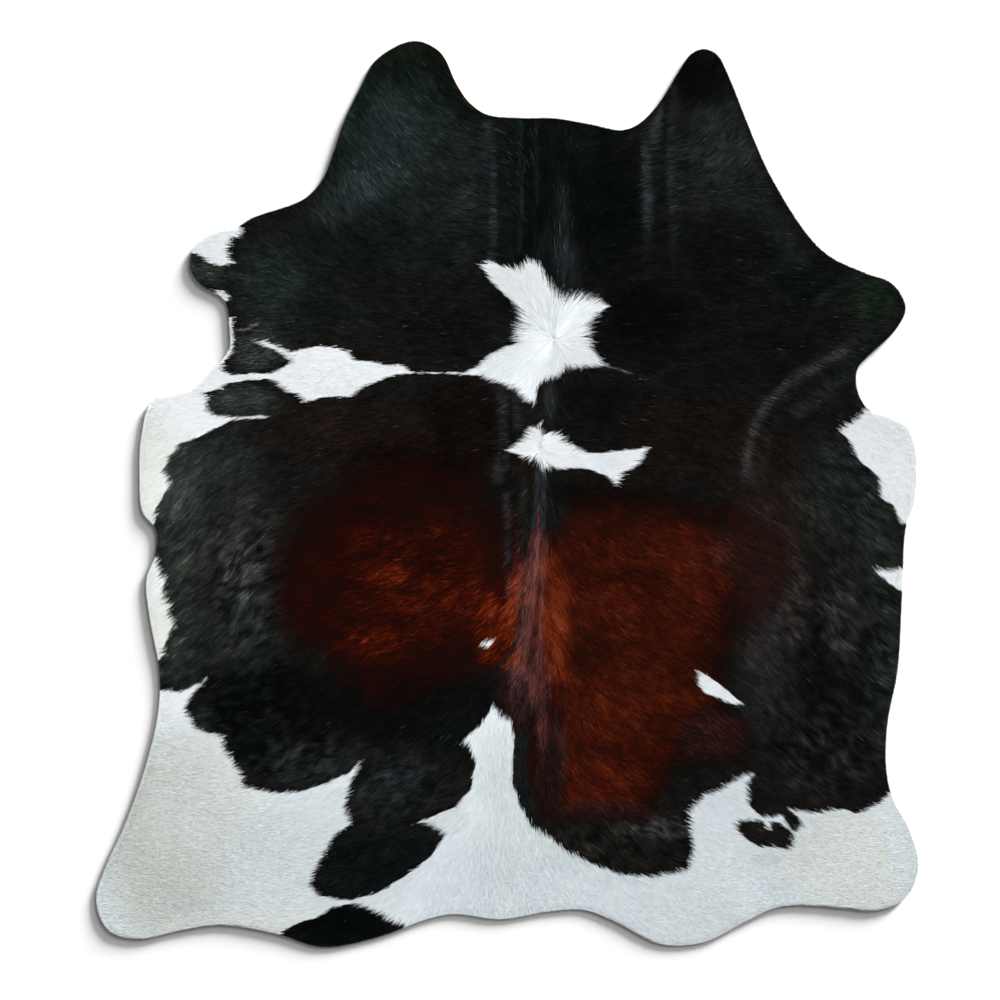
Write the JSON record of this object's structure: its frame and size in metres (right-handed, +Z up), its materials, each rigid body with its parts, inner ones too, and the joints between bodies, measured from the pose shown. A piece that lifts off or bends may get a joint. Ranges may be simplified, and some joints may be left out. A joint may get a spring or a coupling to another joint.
{
  "type": "cowhide rug",
  "caption": "Whole hair-on cowhide rug, tanned flat, with two neck flaps, fore and hind shank lobes, wavy trimmed edge and a patched short-haired coat.",
  "frame": {"origin": "on the floor under the middle of the outline's box, on the flesh side", "axes": "+Z up through the coat, +Y along the spine towards the neck, +X towards the right-hand fore shank as seen from above the coat"},
  "size_m": [1.932, 2.13, 0.0091],
  "materials": {
    "black_hair": "short black-brown hair lying flat, satin sheen",
    "red_brown_hair": "mahogany hair over the loin, satin sheen",
    "white_hair": "white to cream hair, satin sheen",
    "flesh_side": "buffed suede underside"
  },
  "bodies": {
    "root": {"cowhide": "black_hair"}
  },
  "joints": []
}
